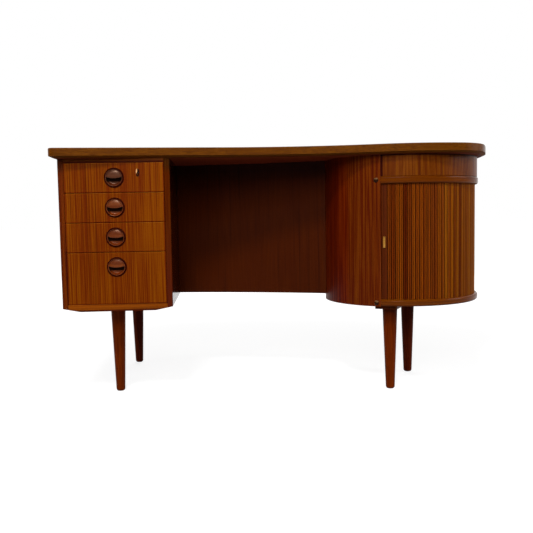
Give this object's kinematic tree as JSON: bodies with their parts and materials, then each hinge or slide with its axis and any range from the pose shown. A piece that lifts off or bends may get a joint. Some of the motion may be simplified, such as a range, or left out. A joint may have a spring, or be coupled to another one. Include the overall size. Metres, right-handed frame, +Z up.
{
  "type": "writing desk",
  "caption": "Kidney-shaped teak writing desk with a drawer pedestal, a round cabinet closed by a sliding reeded curtain, a curved back panel and turned tapered legs.",
  "frame": {"origin": "on the floor under the middle of the desktop's box", "axes": "+X along the desk towards the round cabinet, +Y towards the back, +Z up; the sitter is at -Y"},
  "size_m": [1.314, 0.6995, 0.73],
  "materials": {
    "top_veneer": "oiled, satin",
    "solid_teak": "oiled, satin",
    "teak_veneer": "oiled, satin",
    "drawer_veneer": "oiled, satin",
    "turned_teak": "oiled, satin",
    "slat_teak": "oiled, satin",
    "pale_lining": "matt lacquer",
    "brass": "aged, satin",
    "bronze": "dark patina",
    "steel": "plain",
    "canvas": "woven, matt"
  },
  "bodies": {
    "desk": {"desktop_panel": "top_veneer", "desktop_lipping": "solid_teak", "drum_front_stile": "solid_teak", "drum_back_stile": "solid_teak", "leg_batten": "solid_teak", "modesty_cleat": "solid_teak", "pedestal_left_side": "teak_veneer", "pedestal_right_side": "teak_veneer", "pedestal_base": "teak_veneer", "pedestal_back": "teak_veneer", "pedestal_front_rail": "teak_veneer", "pedestal_rear_rail": "teak_veneer", "modesty_panel": "teak_veneer", "drum_base": "teak_veneer", "drum_upper_board": "teak_veneer", "drum_frieze": "teak_veneer", "drum_side_panel": "teak_veneer", "left_front_leg": "turned_teak", "left_back_leg": "turned_teak", "right_front_leg": "turned_teak", "right_back_leg": "turned_teak", "drawer_runners": "pale_lining", "drum_liner": "pale_lining", "drum_shelf": "pale_lining", "shelf_pins": "brass", "drum_bolts": "bronze", "leg_bolts": "steel"},
    "curtain": {"curtain_slats": "slat_teak", "curtain_canvas": "canvas", "curtain_lead_stile": "solid_teak", "curtain_grip": "brass"},
    "lock_bolt": {"lock_bolt": "steel"},
    "drawer_1": {"drawer_1_front": "drawer_veneer", "drawer_1_left_side": "pale_lining", "drawer_1_right_side": "pale_lining", "drawer_1_back": "pale_lining", "drawer_1_bottom": "pale_lining", "drawer_1_pull": "turned_teak", "lock_escutcheon": "brass", "lock_case": "steel"},
    "drawer_2": {"drawer_2_front": "drawer_veneer", "drawer_2_left_side": "pale_lining", "drawer_2_right_side": "pale_lining", "drawer_2_back": "pale_lining", "drawer_2_bottom": "pale_lining", "drawer_2_pull": "turned_teak"},
    "drawer_3": {"drawer_3_front": "drawer_veneer", "drawer_3_left_side": "pale_lining", "drawer_3_right_side": "pale_lining", "drawer_3_back": "pale_lining", "drawer_3_bottom": "pale_lining", "drawer_3_pull": "turned_teak"},
    "drawer_4": {"drawer_4_front": "drawer_veneer", "drawer_4_left_side": "pale_lining", "drawer_4_right_side": "pale_lining", "drawer_4_back": "pale_lining", "drawer_4_bottom": "pale_lining", "drawer_4_pull": "turned_teak"}
  },
  "joints": [
    {"name": "drawer_1_slide", "type": "slide", "parent": "desk", "child": "drawer_1", "axis": [0, -1, 0], "range_m": [0, 0.37]},
    {"name": "drawer_2_slide", "type": "slide", "parent": "desk", "child": "drawer_2", "axis": [0, -1, 0], "range_m": [0, 0.37]},
    {"name": "drawer_3_slide", "type": "slide", "parent": "desk", "child": "drawer_3", "axis": [0, -1, 0], "range_m": [0, 0.37]},
    {"name": "drawer_4_slide", "type": "slide", "parent": "desk", "child": "drawer_4", "axis": [0, -1, 0], "range_m": [0, 0.37]},
    {"name": "curtain_turn", "type": "hinge", "parent": "desk", "child": "curtain", "pos_m": [0.395, -0.085, 0.45], "axis": [0, 0, 1], "range_deg": [0, 136]},
    {"name": "lock_bolt_throw", "type": "slide", "parent": "drawer_1", "child": "lock_bolt", "axis": [0, 0, 1], "range_m": [0, 0.007]}
  ]
}
